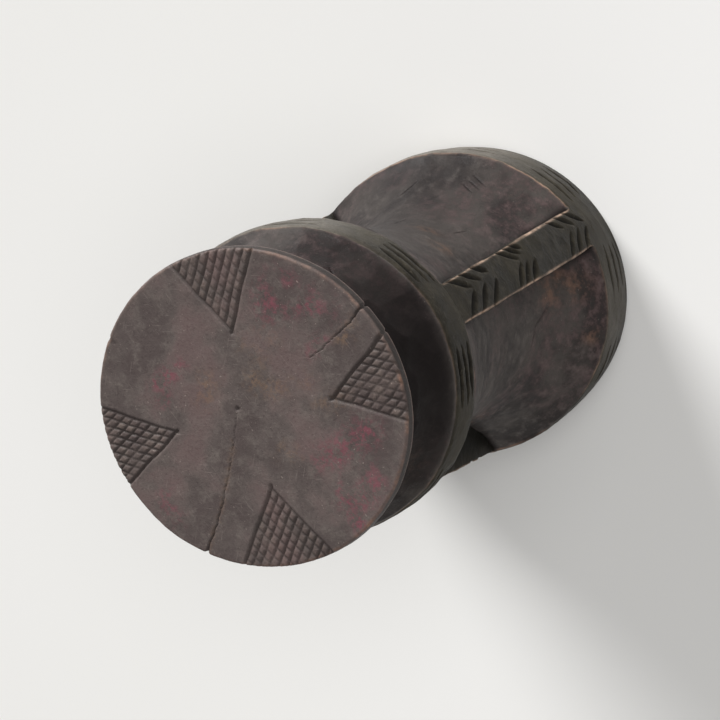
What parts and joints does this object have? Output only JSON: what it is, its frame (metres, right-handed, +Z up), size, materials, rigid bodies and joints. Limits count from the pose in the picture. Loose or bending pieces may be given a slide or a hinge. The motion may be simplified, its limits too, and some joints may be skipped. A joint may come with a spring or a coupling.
{
  "type": "headrest",
  "caption": "Carved dark wood headrest: a round head disc on a belled neck and ring, joined by struts and an hourglass shaft to a wide base ring.",
  "frame": {"origin": "centre of the flat foot face under the base ring", "axes": "+Z up along the log's axis from the foot to the head disc; -Y is the front, where strut_1 stands"},
  "size_m": [0.1044, 0.1044, 0.18],
  "materials": {
    "face_wood": "worn end grain, semi-matt, with reddish and ochre patches",
    "hollow_wood": "smooth knife-cut, rubbed, satin, with a reddish cast",
    "band_wood": "olive-brown handling patina, satin, with paler worn arrises"
  },
  "bodies": {
    "root": {"head_disc": "face_wood", "neck_flare": "hollow_wood", "upper_ring": "band_wood", "shaft_core": "hollow_wood", "base_flare": "hollow_wood", "base_ring": "band_wood", "strut_1": "band_wood", "strut_2": "band_wood", "strut_3": "band_wood"}
  },
  "joints": []
}
